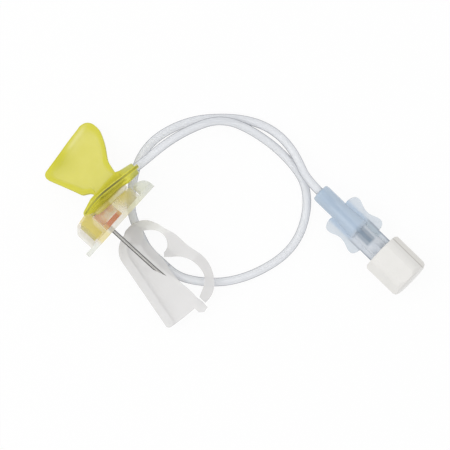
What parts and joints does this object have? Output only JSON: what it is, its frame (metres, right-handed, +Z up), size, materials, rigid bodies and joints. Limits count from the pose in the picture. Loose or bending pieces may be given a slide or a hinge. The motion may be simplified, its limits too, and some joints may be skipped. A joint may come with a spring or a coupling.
{
  "type": "huber needle set",
  "caption": "Winged port access needle with a safety base, a clear line with a pinch clamp and a capped luer connector.",
  "frame": {"origin": "on the table, below the middle of the needle, hub, wings and safety base as they lie", "axes": "+X along the needle to its tip, +Y along the hub to the end where the line leaves, +Z up from the table"},
  "size_m": [0.0983, 0.063, 0.0342],
  "materials": {
    "wing_plastic": "soft translucent yellow plastic",
    "steel": "polished cannula steel",
    "frosted_plastic": "frosted translucent plastic",
    "orange_plastic": "bright orange plastic",
    "pink_plastic": "translucent salmon plastic",
    "line_plastic": "clear flexible tubing",
    "clamp_plastic": "milky translucent plastic",
    "blue_plastic": "clear blue tinted plastic",
    "cap_plastic": "milky white plastic"
  },
  "bodies": {
    "base": {"base_plate": "frosted_plastic", "safety_housing": "frosted_plastic", "safety_gate": "orange_plastic", "safety_capsule": "pink_plastic", "clamp_body": "clamp_plastic", "luer_connector": "blue_plastic", "tube_from_hub": "line_plastic", "tube_to_clamp": "line_plastic", "tube_pinch": "line_plastic", "tube_to_luer": "line_plastic"},
    "hub": {"wing_hub": "wing_plastic", "needle": "steel"},
    "lower_wing": {"wing_lower": "wing_plastic"},
    "upper_wing": {"wing_upper": "wing_plastic"},
    "arm": {"clamp_arm": "clamp_plastic"},
    "cap": {"luer_cap": "cap_plastic"}
  },
  "joints": [
    {"name": "needle_withdraw", "type": "slide", "parent": "base", "child": "hub", "axis": [-1, 0, 0], "range_m": [0, 0.0232], "deforming": ["tube_from_hub"]},
    {"name": "lower_wing_fold", "type": "hinge", "parent": "hub", "child": "lower_wing", "pos_m": [-0.0058, 0.00405, 0.0101], "axis": [0, 1, 0], "range_deg": [-60.9, 29.1], "stiffness_Nm_per_rad": 0.01},
    {"name": "upper_wing_fold", "type": "hinge", "parent": "hub", "child": "upper_wing", "pos_m": [-0.0054, 0.00405, 0.0145], "axis": [0.1736, 0.9848, 0], "range_deg": [-90, 0], "stiffness_Nm_per_rad": 0.01},
    {"name": "clamp_close", "type": "hinge", "parent": "base", "child": "arm", "pos_m": [0.0088, -0.0013, 0.0035], "axis": [0, 0, -1], "range_deg": [0, 9.5], "stiffness_Nm_per_rad": 0.05, "deforming": ["tube_pinch"]},
    {"name": "cap_off", "type": "slide", "parent": "base", "child": "cap", "axis": [0.997, -0.0331, 0.0698], "range_m": [0, 0.014]}
  ]
}
